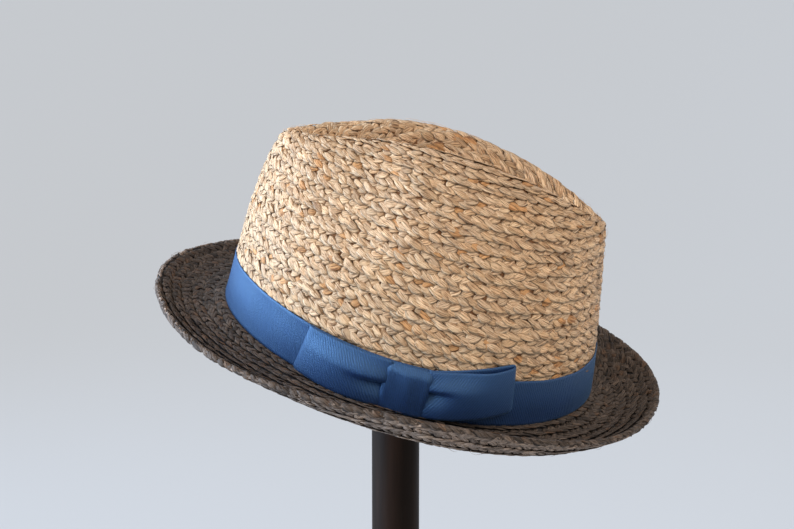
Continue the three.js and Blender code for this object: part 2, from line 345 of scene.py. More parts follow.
@dataclass
class Cloth:
    """A surface as a table: angle around the hat against distance along its cross-section."""

    points: Array
    normals: Array
    lengths: Array
    facing: int = 1

    @classmethod
    def from_sections(cls, surface: Callable[[Array, Array], Array], facing: int = 1,
                      around: int = STEPS_PER_TURN, along: int = 400) -> "Cloth":
        """Measures a surface so that it can be walked in millimetres.

        Args:
            surface: Gives the points for angles and shares from 0 to 1.
            facing: -1 where the cross-section runs the other way round, so that the normals turn over.
            around: Columns of the table, all the way round.
            along: Rows of the table.

        Returns:
            The table, with rows at equal steps along each cross-section.
        """
        t = np.linspace(0, TURN, around, endpoint=False) - math.pi / 2
        share = np.linspace(0, 1, 4 * along)
        raw = surface(*np.meshgrid(t, share, indexing="ij"))
        steps = np.linalg.norm(np.diff(raw, axis=1), axis=2)
        walked = np.concatenate([np.zeros((around, 1)), np.cumsum(steps, axis=1)], axis=1)
        lengths = walked[:, -1]
        even = np.linspace(0, 1, along)
        points = np.empty((around, along, 3))
        for column in range(around):
            at = even * lengths[column]
            for axis in range(3):
                points[column, :, axis] = np.interp(at, walked[column], raw[column, :, axis])
        across = np.roll(points, -1, axis=0) - np.roll(points, 1, axis=0)
        up = np.gradient(points, axis=1)
        return cls(points, facing * unit(np.cross(across, up)), lengths, facing)

    def length(self, t: Array) -> Array:
        """Length of the cross-section at an angle.

        Args:
            t: Angle around the hat.

        Returns:
            The lengths.
        """
        count = len(self.lengths)
        place = ((t + math.pi / 2) / TURN * count) % count
        low = np.floor(place).astype(int) % count
        part = place - np.floor(place)
        return self.lengths[low] * (1 - part) + self.lengths[(low + 1) % count] * part

    def look_up(self, t: Array, distance: Array, height: Array) -> Array:
        """Points above the surface.

        Args:
            t: Angle around the hat.
            distance: Distance along the cross-section.
            height: Height above the surface, along its normal.

        Returns:
            The points in the hat's frame.
        """
        around, along = self.points.shape[:2]
        column = ((t + math.pi / 2) / TURN * around) % around
        row = np.clip(distance / self.length(t), 0, 1) * (along - 1)
        c0 = np.floor(column).astype(int) % around
        r0 = np.minimum(np.floor(row).astype(int), along - 2)
        fc = (column - np.floor(column))[..., None]
        fr = (row - r0)[..., None]
        c1 = (c0 + 1) % around
        found = []
        for table in (self.points, self.normals):
            near = table[c0, r0] * (1 - fr) + table[c0, r0 + 1] * fr
            far = table[c1, r0] * (1 - fr) + table[c1, r0 + 1] * fr
            found.append(near * (1 - fc) + far * fc)
        return shift(found[0], unit(found[1]), height)


@dataclass
class MeshParts:
    """Points, faces and per-point looks of a mesh that is being made."""

    points: Array
    faces: list[Array]
    uv: Array | None = None
    tint: Array | None = None


def make_object(name: str, parts: MeshParts, material: bpy.types.Material) -> bpy.types.Object:
    """Makes a mesh object that rides on the part's body.

    Args:
        name: Name of the piece.
        parts: Its points in metres, its faces and their looks.
        material: Its finish.

    Returns:
        The new object.
    """
    mesh = bpy.data.meshes.new(name)
    mesh.vertices.add(len(parts.points))
    mesh.vertices.foreach_set("co", parts.points.astype(np.float32).ravel())
    corners = np.concatenate([f.ravel() for f in parts.faces]).astype(np.int32)
    sizes = np.concatenate([np.full(len(f), f.shape[1]) for f in parts.faces])
    starts = np.concatenate([[0], np.cumsum(sizes)[:-1]]).astype(np.int32)
    mesh.loops.add(len(corners))
    mesh.loops.foreach_set("vertex_index", corners)
    mesh.polygons.add(len(sizes))
    mesh.polygons.foreach_set("loop_start", starts)
    mesh.update(calc_edges=True)
    mesh.polygons.foreach_set("use_smooth", np.full(len(sizes), True))
    if parts.uv is not None:
        layer = mesh.uv_layers.new(name="strand")
        layer.data.foreach_set("uv", parts.uv[corners].astype(np.float32).ravel())
    if parts.tint is not None:
        colours = mesh.color_attributes.new("tint", "FLOAT_COLOR", "POINT")
        rgba = np.concatenate([parts.tint, np.ones((len(parts.tint), 1))], axis=1)
        colours.data.foreach_set("color", rgba.astype(np.float32).ravel())
    mesh.validate()
    mesh.materials.append(material)
    made = bpy.data.objects.new(name, mesh)
    bpy.context.scene.collection.objects.link(made)
    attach(made, "root")
    log.info("%s: %d faces", name, len(mesh.polygons))
    return made


def sheet_faces(rows: int, columns: int, wrapped: bool) -> list[Array]:
    """Faces of a closed sheet whose points are two grids, front first and back second.

    Args:
        rows: Rows of each grid.
        columns: Columns of each grid.
        wrapped: True where each row closes on itself.

    Returns:
        The faces, all with four corners.
    """
    steps = columns if wrapped else columns - 1
    r, c = np.meshgrid(np.arange(rows - 1), np.arange(steps), indexing="ij")
    r, c = r.ravel(), c.ravel()
    front = np.stack([r * columns + c, r * columns + (c + 1) % columns,
                      (r + 1) * columns + (c + 1) % columns, (r + 1) * columns + c], -1)
    back = front[:, ::-1] + rows * columns
    c = np.arange(steps)
    nxt = (c + 1) % columns
    offset = rows * columns
    last = (rows - 1) * columns
    low = np.stack([nxt, c, offset + c, offset + nxt], -1)
    high = np.stack([last + c, last + nxt, offset + last + nxt, offset + last + c], -1)
    faces = [front, back, low, high]
    if not wrapped:
        r = np.arange(rows - 1) * columns
        end = columns - 1
        faces.append(np.stack([r, r + columns, offset + r + columns, offset + r], -1))
        faces.append(np.stack([r + columns + end, r + end, offset + r + end, offset + r + columns + end], -1))
    return faces


class NodeMaterial:
    """A material under construction, with short helpers for its nodes."""

    def __init__(self, name: str) -> None:
        """Starts an empty material with a surface shader.

        Args:
            name: Name of the material.
        """
        self.material = bpy.data.materials.new(name)
        self.material.use_nodes = True
        self.tree = self.material.node_tree
        self.tree.nodes.clear()
        self.output = self.tree.nodes.new("ShaderNodeOutputMaterial")
        self.shader = self.tree.nodes.new("ShaderNodeBsdfPrincipled")
        self.link(self.shader.outputs["BSDF"], self.output.inputs["Surface"])

    def link(self, source: bpy.types.NodeSocket, target: bpy.types.NodeSocket) -> None:
        """Joins two sockets."""
        self.tree.links.new(source, target)

    def node(self, kind: str, **values: object) -> bpy.types.Node:
        """Adds a node and sets its properties.

        Args:
            kind: Type of the node.
            values: Its properties.

        Returns:
            The node.
        """
        made = self.tree.nodes.new(kind)
        for key, value in values.items():
            setattr(made, key, value)
        return made

    def feed(self, target: bpy.types.NodeSocket, value: object) -> None:
        """Links a socket, or sets a plain value.

        Args:
            target: The socket to feed.
            value: Another socket, or a value.
        """
        if isinstance(value, bpy.types.NodeSocket):
            self.link(value, target)
        else:
            target.default_value = value

    def math(self, operation: str, *values: object, clamp: bool = False) -> bpy.types.NodeSocket:
        """Adds a math node and returns its output.

        Args:
            operation: What it works out.
            values: Its inputs, sockets or numbers.
            clamp: True to hold the result from 0 to 1.

        Returns:
            Its output.
        """
        made = self.node("ShaderNodeMath", operation=operation, use_clamp=clamp)
        for target, value in zip(made.inputs, values):
            self.feed(target, value)
        return made.outputs[0]

    def mix(self, kind: str, factor: object, first: object, second: object) -> bpy.types.NodeSocket:
        """Adds a colour mix and returns its output.

        Args:
            kind: How the colours are mixed.
            factor: Share of the second one.
            first: First colour.
            second: Second colour.

        Returns:
            Its output.
        """
        made = self.node("ShaderNodeMix", data_type="RGBA", blend_type=kind)
        self.feed(made.inputs["Factor"], factor)
        self.feed(made.inputs["A"], first)
        self.feed(made.inputs["B"], second)
        return made.outputs["Result"]

    def noise(self, vector: bpy.types.NodeSocket, scale: float, detail: float = 3,
              rough: float = 0.5) -> bpy.types.NodeSocket:
        """Adds a noise texture and returns its value.

        Args:
            vector: Coordinates.
            scale: Grains in one unit.
            detail: Octaves.
            rough: Strength of the finer octaves.

        Returns:
            Its value.
        """
        made = self.node("ShaderNodeTexNoise")
        self.link(vector, made.inputs["Vector"])
        made.inputs["Scale"].default_value = scale
        made.inputs["Detail"].default_value = detail
        made.inputs["Roughness"].default_value = rough
        return made.outputs["Fac"]

    def stretched(self, vector: bpy.types.NodeSocket,
                  scale: tuple[float, float, float]) -> bpy.types.NodeSocket:
        """Stretches texture coordinates.

        Args:
            vector: The coordinates.
            scale: Factor along each axis.

        Returns:
            The new coordinates.
        """
        made = self.node("ShaderNodeMapping")
        self.link(vector, made.inputs["Vector"])
        made.inputs["Scale"].default_value = scale
        return made.outputs["Vector"]

    def spread(self, value: bpy.types.NodeSocket, low: float, high: float, to_low: float = 0,
               to_high: float = 1) -> bpy.types.NodeSocket:
        """Maps a range of values to another, held at its ends.

        Args:
            value: The value.
            low: Start of its range.
            high: End of its range.
            to_low: Result at the start.
            to_high: Result at the end.

        Returns:
            The mapped value.
        """
        made = self.node("ShaderNodeMapRange")
        for target, number in zip(made.inputs, (value, low, high, to_low, to_high)):
            self.feed(target, number)
        return made.outputs["Result"]

    def bump(self, height: bpy.types.NodeSocket, distance: float, strength: float = 1) -> None:
        """Adds relief to the surface, over any that is there.

        Args:
            height: Height of the relief.
            distance: Its depth in metres.
            strength: Its strength.
        """
        made = self.node("ShaderNodeBump")
        made.inputs["Distance"].default_value = distance
        made.inputs["Strength"].default_value = strength
        self.link(height, made.inputs["Height"])
        if self.shader.inputs["Normal"].links:
            self.link(self.shader.inputs["Normal"].links[0].from_socket, made.inputs["Normal"])
        self.link(made.outputs["Normal"], self.shader.inputs["Normal"])

    def plain(self, values: dict[str, object]) -> None:
        """Sets values that are the same all over, on the shader's own sockets."""
        for name, value in values.items():
            self.shader.inputs[name].default_value = value


@dataclass(frozen=True)
class RaffiaFinish:
    """Split raffia leaf: silky fibres along each strand, each strand with its own tint."""

    name: str
    pale: tuple[float, float, float]
    deep: tuple[float, float, float]
    roughness: float = 0.5
    gloss: float = 0.5
    sheen: float = 0.03
    sheen_roughness: float = 0.45
    gloss_tint: tuple[float, float, float] = (1, 0.95, 0.88)
    stripe_grain: tuple[float, float, float] = (1.9, 0.12, 1)
    fine_grain: tuple[float, float, float] = (4.5, 0.3, 1)
    blotch_grain: tuple[float, float, float] = (0.5, 0.22, 1)
    pale_between: tuple[float, float] = (0.42, 0.56)
    blotch_shade: tuple[float, float, float, float] = (0.3, 0.7, 0.86, 1.1)
    split_shade: tuple[float, float, float, float] = (0.34, 0.48, 0.42, 1)
    relief: float = 0.0009

    def make(self) -> bpy.types.Material:
        """Builds the material, which reads the strand's tint and its own coordinates in millimetres.

        Returns:
            The material.
        """
        m = NodeMaterial(self.name)
        tint = m.node("ShaderNodeAttribute", attribute_name="tint").outputs["Color"]
        strand = m.node("ShaderNodeUVMap", uv_map="strand").outputs["UV"]
        stripes = m.noise(m.stretched(strand, self.stripe_grain), 1.0, 3, 0.65)
        fine = m.noise(m.stretched(strand, self.fine_grain), 1.0, 2, 0.5)
        fibres = m.math("ADD", m.math("MULTIPLY", stripes, 0.7), m.math("MULTIPLY", fine, 0.3))
        blotches = m.noise(m.stretched(strand, self.blotch_grain), 1.0, 2)
        colour = m.mix("MIX", m.spread(fibres, *self.pale_between), (*self.deep, 1), (*self.pale, 1))
        colour = m.mix("MULTIPLY", 1.0, colour, tint)
        mottled = m.spread(blotches, *self.blotch_shade)
        split = m.spread(stripes, *self.split_shade)
        shade = m.math("MULTIPLY", mottled, split)
        grey = m.node("ShaderNodeCombineColor")
        for target in grey.inputs:
            m.link(shade, target)
        m.link(m.mix("MULTIPLY", 1.0, colour, grey.outputs["Color"]), m.shader.inputs["Base Color"])
        rough = m.spread(fibres, 0.35, 0.65, self.roughness + 0.1, self.roughness - 0.06)
        m.link(rough, m.shader.inputs["Roughness"])
        m.plain({"Specular IOR Level": self.gloss, "Specular Tint": (*self.gloss_tint, 1),
                 "Sheen Weight": self.sheen, "Sheen Roughness": self.sheen_roughness})
        m.bump(fibres, self.relief, 0.9)
        return m.material


@dataclass(frozen=True)
class GapShadeFinish:
    """Painted shade of the depth between strands: a darker sheet sunk under them that shows in the gaps."""

    name: str
    colour: tuple[float, float, float]
    mottle_scale: float = 900
    darkest: float = 0.45

    def make(self) -> bpy.types.Material:
        """Builds a rough, slightly mottled material.

        Returns:
            The material.
        """
        m = NodeMaterial(self.name)
        where = m.node("ShaderNodeTexCoord").outputs["Object"]
        mottle = m.noise(where, self.mottle_scale, 3)
        darker = tuple(self.darkest * c for c in self.colour)
        m.link(m.mix("MIX", mottle, (*darker, 1), (*self.colour, 1)), m.shader.inputs["Base Color"])
        m.plain({"Roughness": 0.9})
        m.bump(mottle, 0.0004)
        return m.material


@dataclass(frozen=True)
class RibbonFinish:
    """Fine diagonal twill ribbon: dark navy threads with a bright blue gloss. Coordinates are millimetres."""

    name: str
    lit: tuple[float, float, float]
    base: tuple[float, float, float]
    gloss: tuple[float, float, float]
    sheen: tuple[float, float, float]
    twill_pitch: float = 1.3
    slope: float = 0.62
    wander_grain: tuple[float, float, float] = (0.4, 0.4, 1)
    wander: float = 1.1
    thread_grain: tuple[float, float, float] = (3.2, 1.1, 1)
    patch_grain: tuple[float, float, float] = (0.06, 0.12, 1)
    speckle_grain: tuple[float, float, float] = (1.5, 1.1, 1)
    relief: float = 0.0003

    def make(self) -> bpy.types.Material:
        """Builds the material from twill ribs, single threads and slow wear.

        Returns:
            The material.
        """
        m = NodeMaterial(self.name)
        strand = m.node("ShaderNodeUVMap", uv_map="strand").outputs["UV"]
        parts = m.node("ShaderNodeSeparateXYZ")
        m.link(strand, parts.inputs["Vector"])
        lean = m.math("ADD", parts.outputs["X"], m.math("MULTIPLY", parts.outputs["Y"], self.slope))
        wander = m.math("MULTIPLY", m.noise(m.stretched(strand, self.wander_grain), 1.0, 3), self.wander)
        phase = m.math("MULTIPLY", m.math("ADD", lean, wander), TURN / self.twill_pitch)
        rib = m.spread(m.math("SINE", phase), -1, 1)
        threads = m.noise(m.stretched(strand, self.thread_grain), 1.0, 3, 0.6)
        patches = m.noise(m.stretched(strand, self.patch_grain), 1.0, 2)
        speckle = m.noise(m.stretched(strand, self.speckle_grain), 1.0, 4, 0.75)
        fleck = m.math("MULTIPLY", m.math("ADD", rib, speckle), threads)
        factor = m.math("ADD", m.math("MULTIPLY", fleck, 0.9), m.math("MULTIPLY", patches, 0.4), clamp=True)
        m.link(m.mix("MIX", factor, (*self.base, 1), (*self.lit, 1)), m.shader.inputs["Base Color"])
        m.link(m.spread(threads, 0.3, 0.7, 0.54, 0.44), m.shader.inputs["Roughness"])
        m.plain({"IOR": 1.8, "Specular IOR Level": 0.76, "Specular Tint": (*self.gloss, 1),
                 "Sheen Weight": 0.2, "Sheen Roughness": 0.35, "Sheen Tint": (*self.sheen, 1)})
        relief = m.math("ADD", m.math("MULTIPLY", rib, 0.4), m.math("MULTIPLY", speckle, 1.2))
        m.bump(relief, self.relief, 0.8)
        return m.material


@dataclass(frozen=True)
class StainedWoodFinish:
    """Turned wood with a nearly black stain, brown where it has worn thin."""

    name: str
    dark: tuple[float, float, float] = linear(22, 15, 11)
    worn: tuple[float, float, float] = linear(64, 42, 31)
    grey: tuple[float, float, float] = linear(48, 41, 34)
    grain: tuple[float, float, float] = (260, 260, 14)
    broad_grain: tuple[float, float, float] = (60, 60, 6)

    def make(self) -> bpy.types.Material:
        """Builds the material with its grain running up the pole.

        Returns:
            The material.
        """
        m = NodeMaterial(self.name)
        where = m.node("ShaderNodeTexCoord").outputs["Object"]
        grain = m.noise(m.stretched(where, self.grain), 1.0, 5, 0.6)
        broad = m.noise(m.stretched(where, self.broad_grain), 1.0, 3)
        colour = m.mix("MIX", m.spread(broad, 0.45, 0.75, 0, 0.6), (*self.dark, 1), (*self.worn, 1))
        colour = m.mix("MIX", m.spread(grain, 0.55, 0.75, 0, 0.5), colour, (*self.grey, 1))
        m.link(colour, m.shader.inputs["Base Color"])
        m.link(m.spread(grain, 0.3, 0.7, 0.45, 0.65), m.shader.inputs["Roughness"])
        m.plain({"Specular IOR Level": 0.12, "Specular Tint": (1, 0.8, 0.68, 1)})
        m.bump(grain, 0.0003, 0.5)
        return m.material


@dataclass(frozen=True)
class PaperFinish:
    """Plain pale studio paper, which glows a little, as in a light tent."""

    name: str
    colour: tuple[float, float, float]
    returned: float
    glow: float

    def make(self) -> bpy.types.Material:
        """Builds a matt material with a faint tooth.

        Returns:
            The material.
        """
        m = NodeMaterial(self.name)
        where = m.node("ShaderNodeTexCoord").outputs["Object"]
        tooth = m.noise(where, 3, 2)
        paper = tuple(self.returned * c for c in self.colour)
        darker = tuple(0.96 * c for c in paper)
        m.link(m.mix("MIX", tooth, (*darker, 1), (*paper, 1)), m.shader.inputs["Base Color"])
        m.plain({"Roughness": 0.85, "Specular IOR Level": 0.1,
                 "Emission Color": (*self.colour, 1), "Emission Strength": self.glow})
        return m.material


@dataclass(frozen=True)
class TintRange:
    """How the tints of strands vary: a few tints, their shares and a scatter in brightness."""

    tints: tuple[tuple[float, float, float], ...]
    shares: tuple[float, ...]
    spread: float = 0.07

    def draw(self, dice: np.random.Generator, count: int) -> Array:
        """Draws one tint for each strand."""
        picked = np.array(self.tints)[dice.choice(len(self.tints), count, p=self.shares)]
        return np.clip(picked * (1 + self.spread * dice.standard_normal((count, 1))), 0, 2)


@dataclass(frozen=True)
class Scatter:
    """How much one strand differs from the next: millimetres, degrees, or shares of its own size."""

    length: float = 0.1
    width: float = 0.14
    lean_deg: float = 4.5
    bow: float = 0.3
    along: float = 0.4
    across: float = 0.18
    split: float = 0.35
    height: float = 0.1
    twist: float = 0.14


@dataclass(frozen=True)
class Leaf:
    """One kind of strand of a braid, in millimetres on the flat; places are shares of a pitch."""

    length: float
    width: float
    thickness: float
    lean_deg: float
    along: float
    across: float
    middle_height: float
    start_dive: float
    end_dive: float
    bow: float = 0
    untidy: float = 1
    sections: int = 6
    ring: tuple[tuple[float, float], ...] = (
        (-1, 0), (-0.62, 0.72), (-0.1, 0.98), (0.45, 0.85), (1, 0.05), (0.45, -0.45), (-0.45, -0.45))
    taper_power: float = 2.1
    taper_roundness: float = 0.75
    tip: float = 0.1
    thin_end: float = 0.4
    dive_power: float = 2.2
    split_place: float = 0.1
    split_width: float = 0.3
    deepest_split: float = 0.6
    grain_shift: float = 400
    scatter: Scatter = Scatter()

    def points_each(self) -> int:
        """Number of points in one strand."""
        return self.sections * len(self.ring)

    def lay(self, numbers: Array, row_pitch: float, strand_pitch: float,
            dice: np.random.Generator) -> tuple[Array, Array, Array, Array]:
        """Lays one file of strands along a straight row.

        Args:
            numbers: The strands' numbers, counted from the start of the row.
            row_pitch: Width of the row.
            strand_pitch: Distance from one strand to the next.
            dice: Source of chance.

        Returns:
            Distance along the row, distance across it, height and texture coordinates of each point.
        """
        e = np.linspace(-1, 1, self.sections)[None, :, None]
        ring = np.array(self.ring)
        w, lift = ring[:, 0][None, None, :], ring[:, 1][None, None, :]
        count = len(numbers)

        def vary(amount: float) -> Array:
            """Draws one difference for each strand."""
            return amount * self.untidy * dice.standard_normal((count, 1, 1))

        half = self.length / 2 * (1 + vary(self.scatter.length))
        width = self.width / 2 * (1 + vary(self.scatter.width))
        lean = np.radians(self.lean_deg + vary(self.scatter.lean_deg))
        narrowing = np.maximum(1 - np.abs(e) ** self.taper_power, 0) ** self.taper_roundness
        taper = narrowing * (1 - self.tip) + self.tip
        local_x = e * half
        local_y = w * width * taper + (self.bow + vary(self.scatter.bow)) * (1 - e**2)
        centre_x = (numbers[:, None, None] + 0.5 + self.along) * strand_pitch + vary(self.scatter.along)
        centre_y = self.across * row_pitch + vary(self.scatter.across)
        along = centre_x + local_x * np.cos(lean) - local_y * np.sin(lean)
        across = centre_y + local_x * np.sin(lean) + local_y * np.cos(lean)
        deep = np.clip(vary(self.scatter.split), 0, self.deepest_split)
        split = deep * np.exp(-((w - self.split_place) / self.split_width) ** 2)
        arch = self.thickness / 2 * lift * (self.thin_end + (1 - self.thin_end) * taper) * (1 - split)
        start_dive = self.start_dive * np.maximum(-e, 0) ** self.dive_power
        dive = start_dive + self.end_dive * np.maximum(e, 0) ** self.dive_power
        level = self.middle_height + vary(self.scatter.height)
        height = level + arch - dive + vary(self.scatter.twist) * w * taper
        shape = (count, self.sections, len(self.ring))
        seed = dice.uniform(0, self.grain_shift, (count, 1, 1))
        u = np.broadcast_to(w * width + seed, shape)
        v = np.broadcast_to(e * half + seed * 3, shape)
        along, across, height = (np.broadcast_to(a, shape) for a in (along, across, height))
        return along, across, height, np.stack([u, v], -1)


FINE_RING = ((-1, 0), (-0.35, 0.9), (0.45, 0.85), (1, 0), (0, -0.5))
UPPER_LEAF = Leaf(
    length=8, width=5.2, thickness=0.4, lean_deg=29, along=0.2, across=0.22, middle_height=0.17,
    start_dive=0.3, end_dive=0.54, bow=0.25, untidy=1.3)
LOWER_LEAF = Leaf(
    length=9.6, width=4.7, thickness=0.4, lean_deg=-26, along=-0.28, across=-0.17, middle_height=0.08,
    start_dive=0.45, end_dive=0.22, bow=-0.4, untidy=1.3, sections=5, ring=FINE_RING)
EDGE_LEAF = Leaf(
    length=9.2, width=4.3, thickness=0.4, lean_deg=-20, along=0.14, across=-0.36, middle_height=0.04,
    start_dive=0.4, end_dive=0.2, bow=-0.4, untidy=1.3, sections=5, ring=FINE_RING)


@dataclass
class Braid:
    """A flat plait sewn in a spiral, each row lapped over the next: full leaves above, fine ones below."""

    tints: TintRange
    row_pitch: float = 6.9
    strand_pitch: float = 6
    shingle: float = 0.95
    front_squeeze: float = 0
    leaves: tuple[Leaf, ...] = (UPPER_LEAF, LOWER_LEAF, EDGE_LEAF)

    def strands(self, cloth: Cloth, start: Callable[[Array], Array], end: Callable[[Array], Array],
                turns: float, dice: np.random.Generator, span: tuple[float, float] = (0, 1),
                stretched: bool = True) -> MeshParts:
        """Lays the strands of one spiral braid over a surface.

        Args:
            cloth: The surface.
            start: Distance where the spiral begins, for each angle.
            end: Distance where it ends, for each angle.
            turns: Turns of the spiral.
            dice: Source of chance.
            span: Shares of the braid's length between which strands are laid.
            stretched: True where the rows share out the whole distance.

        Returns:
            Closed strands in the hat's frame.
        """
        sweep = np.linspace(0, TURN * turns, int(STEPS_PER_TURN * turns))
        t = sweep - math.pi / 2
        centre = start(t) + (end(t) - start(t)) * sweep / (TURN * turns)
        line = cloth.look_up(t, centre, np.zeros_like(t))
        walked = np.concatenate([[0], np.cumsum(np.linalg.norm(np.diff(line, axis=0), axis=1))])
        pitch = (end(t) - start(t)) / turns if stretched else np.full_like(t, self.row_pitch)
        crowding = 1 + self.front_squeeze * np.sin(t[1:])
        counted = np.concatenate([[0], np.cumsum(np.diff(walked) / crowding)])
        first, last = (int(share * counted[-1] / self.strand_pitch) for share in span)
        numbers = np.arange(max(first, 1), last)
        made = []
        for leaf in self.leaves:
            along, across, height, uv = leaf.lay(numbers, self.row_pitch, self.strand_pitch, dice)
            place = np.interp(along, counted, walked)
            stretch = np.interp(place, walked, pitch) / self.row_pitch
            lapped = height - self.shingle * across / self.row_pitch
            distance = np.interp(place, walked, centre) + across * stretch
            points = cloth.look_up(np.interp(place, walked, t), distance, lapped)
            tint = np.repeat(self.tints.draw(dice, len(numbers)), leaf.points_each(), axis=0)
            faces = tube_faces(len(numbers), leaf.sections, len(leaf.ring))
            if cloth.facing * pitch[0] < 0:
                faces = [f[:, ::-1] for f in faces]
            made.append(MeshParts(points.reshape(-1, 3), faces, uv.reshape(-1, 2), tint))
        return merged(made)


def tube_faces(count: int, sections: int, ring: int) -> list[Array]:
    """Faces of closed strands whose points lie in rings.

    Args:
        count: Number of strands.
        sections: Rings in each strand.
        ring: Points in each ring.

    Returns:
        The faces along the strands and at both of their ends.
    """
    s, r = np.meshgrid(np.arange(sections - 1), np.arange(ring), indexing="ij")
    s, r = s.ravel(), r.ravel()
    after = (r + 1) % ring
    side = np.stack([s * ring + r, (s + 1) * ring + r, (s + 1) * ring + after, s * ring + after], -1)
    first = np.arange(ring)[None, :]
    last = ((sections - 1) * ring + np.arange(ring))[::-1][None, :]
    offset = (np.arange(count) * sections * ring)[:, None, None]
    return [(side[None] + offset).reshape(-1, 4), (first[None] + offset).reshape(-1, ring),
            (last[None] + offset).reshape(-1, ring)]


def merged(meshes: list[MeshParts]) -> MeshParts:
    """Joins meshes that have the same kinds of looks.

    Args:
        meshes: The meshes.

    Returns:
        One mesh with all of them.
    """
    faces: list[Array] = []
    offset = 0
    for mesh in meshes:
        faces += [f + offset for f in mesh.faces]
        offset += len(mesh.points)
    return MeshParts(np.concatenate([m.points for m in meshes]), faces,
                     np.concatenate([m.uv for m in meshes]), np.concatenate([m.tint for m in meshes]))


@dataclass(frozen=True)
class Hairs:
    """Loose fibres that stand off the straw."""

    count: int
    length: float = 7
    radius: float = 0.1
    rise: float = 1.2
    sections: int = 5
    heading_scatter: float = 0.5
    curl: float = 0.5
    lengths: tuple[float, float] = (0.5, 1.4)
    rises: tuple[float, float] = (0.3, 1.2)
    arch: float = 0.75
    root_height: float = 0.4
    thinning: float = 0.7

    def make(self, cloth: Cloth, low: float, high: float, dice: np.random.Generator,
             tint: tuple[float, float, float]) -> MeshParts:
        """Scatters curved fibres over a surface.

        Args:
            cloth: The surface.
            low: Least share of the cross-section.
            high: Greatest share of it.
            dice: Source of chance.
            tint: Their tint.

        Returns:
            Closed three-sided fibres, in the hat's frame.
        """
        k = np.linspace(0, 1, self.sections)[None, :]
        t0 = dice.uniform(0, TURN, (self.count, 1))
        share = dice.uniform(low, high, (self.count, 1))
        heading = dice.normal(0, self.heading_scatter, (self.count, 1))
        heading = heading + math.pi * dice.integers(0, 2, (self.count, 1))
        length = self.length * dice.uniform(*self.lengths, (self.count, 1))
        heading = heading + dice.normal(0, self.curl, (self.count, 1)) * k
        x, y = k * length * np.cos(heading), k * length * np.sin(heading)
        lift = self.rise * dice.uniform(*self.rises, (self.count, 1)) * np.sin(k * math.pi * self.arch)
        radius = np.linalg.norm(cloth.look_up(t0, share * cloth.length(t0), 0 * t0)[..., :2], axis=-1)
        # The ring of a fibre that sets off the other way round is mirrored, so that its faces look out.
        turned = -cloth.facing * np.sign(np.cos(heading[:, :1]))
        sides = 3
        corners = []
        for corner in range(sides):
            angle = TURN * corner / sides
            thin = self.radius * (1 - self.thinning * k)
            distance = share * cloth.length(t0) + y + thin * math.cos(angle)
            height = self.root_height + lift + thin * turned * math.sin(angle)
            corners.append(cloth.look_up(t0 + x / radius, distance, height))
        points = np.stack(corners, axis=2).reshape(-1, 3)
        return MeshParts(points, tube_faces(self.count, self.sections, sides), np.zeros((len(points), 2)),
                         np.tile(np.array(tint), (len(points), 1)))


BRIM_LEAVES = (
    Leaf(
        length=6.8, width=3.5, thickness=0.6, lean_deg=31, along=0.2, across=0.22, middle_height=0.24,
        start_dive=0.4, end_dive=0.75, bow=0.15, untidy=0.95, sections=5),
    Leaf(
        length=8.2, width=3.2, thickness=0.5, lean_deg=-27, along=-0.28, across=-0.17,
        middle_height=0.04, start_dive=0.55, end_dive=0.3, bow=-0.3, untidy=0.95, sections=5,
        ring=FINE_RING),
    Leaf(
        length=8, width=3, thickness=0.5, lean_deg=-20, along=0.14, across=-0.36, middle_height=-0.04,
        start_dive=0.5, end_dive=0.2, bow=-0.3, untidy=0.95, sections=5, ring=FINE_RING),
)
INNER_LEAVES = (
    Leaf(
        length=10, width=4.7, thickness=0.9, lean_deg=28, along=0.2, across=0.23, middle_height=0.1,
        start_dive=0.4, end_dive=0.7, bow=0.15, sections=4, ring=FINE_RING),
    Leaf(
        length=11, width=4.2, thickness=0.7, lean_deg=-21, along=-0.28, across=-0.23, middle_height=0,
        start_dive=0.6, end_dive=0.3, bow=-0.4, sections=4, ring=FINE_RING),
)


@dataclass
class StrawWork:
    """Shared way of the crown and the brim: their meshes are made in the hat's frame."""

    form: HatForm

    def _finish(self, name: str, parts: MeshParts, material: bpy.types.Material) -> None:
        """Sets a mesh on the stand and makes its piece."""
        parts.points = self.form.place(parts.points)
        self._dress(make_object(name, parts, material))

    def _dress(self, piece: bpy.types.Object) -> None:
        """Hides the solid that the piece replaces."""
        raise NotImplementedError


